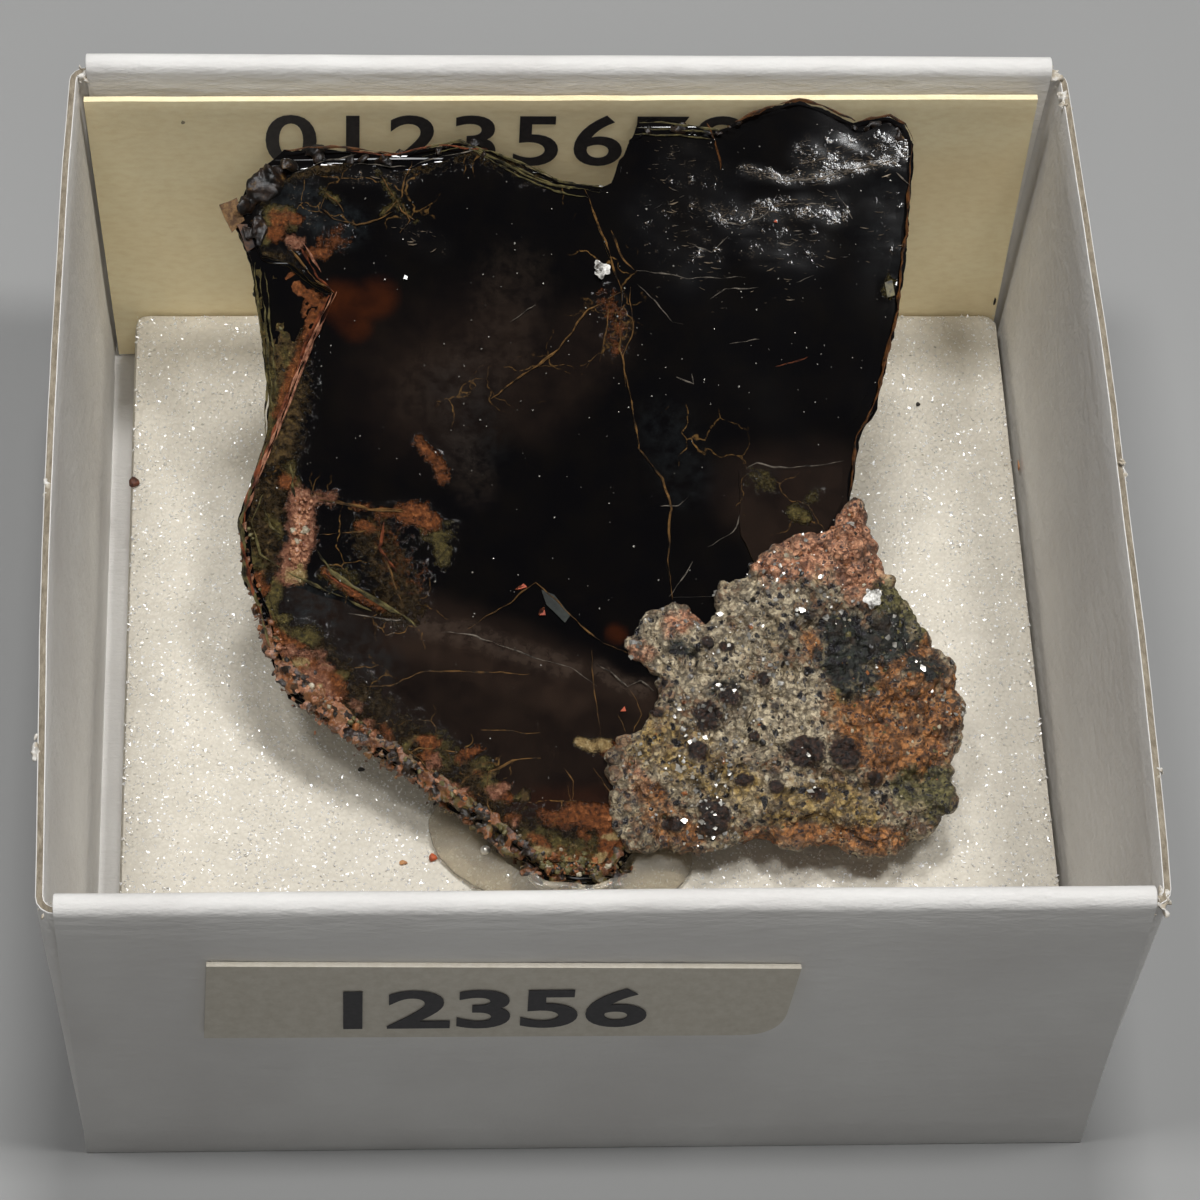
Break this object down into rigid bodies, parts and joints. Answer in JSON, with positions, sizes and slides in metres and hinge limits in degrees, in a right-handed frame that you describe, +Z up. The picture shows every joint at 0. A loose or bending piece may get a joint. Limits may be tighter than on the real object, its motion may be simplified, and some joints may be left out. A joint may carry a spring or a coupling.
{
  "type": "mica crystal specimen in a card tray",
  "caption": "Dark glossy mica crystal with granular host rock, glued leaning on a pale foam pad in a small open white card tray with a label card and sticker.",
  "frame": {"origin": "middle of the tray's flat underside, on the surface that the tray stands on", "axes": "+Z up, +X to the right when looking at the front wall with the sticker, +Y to the back wall with the label card"},
  "size_m": [0.0406, 0.0402, 0.018],
  "materials": {
    "tray_card": "matte white paper-faced card with a beige raw edge",
    "foam": "pale cellular foam with glistening cells",
    "label_card": "matte cream card",
    "sticker_paper": "matte cream paper",
    "clear_glue": "clear, slightly milky hot-melt glue",
    "mica": "near-black glossy cleavage face with brown seams",
    "host_rock": "rough granular rock, grey, orange and dark green"
  },
  "bodies": {
    "root": {"card_tray": "tray_card", "foam_pad": "foam", "label_card": "label_card", "front_sticker": "sticker_paper", "glue_bead": "clear_glue", "mica_crystal": "mica", "host_rock": "host_rock"}
  },
  "joints": []
}
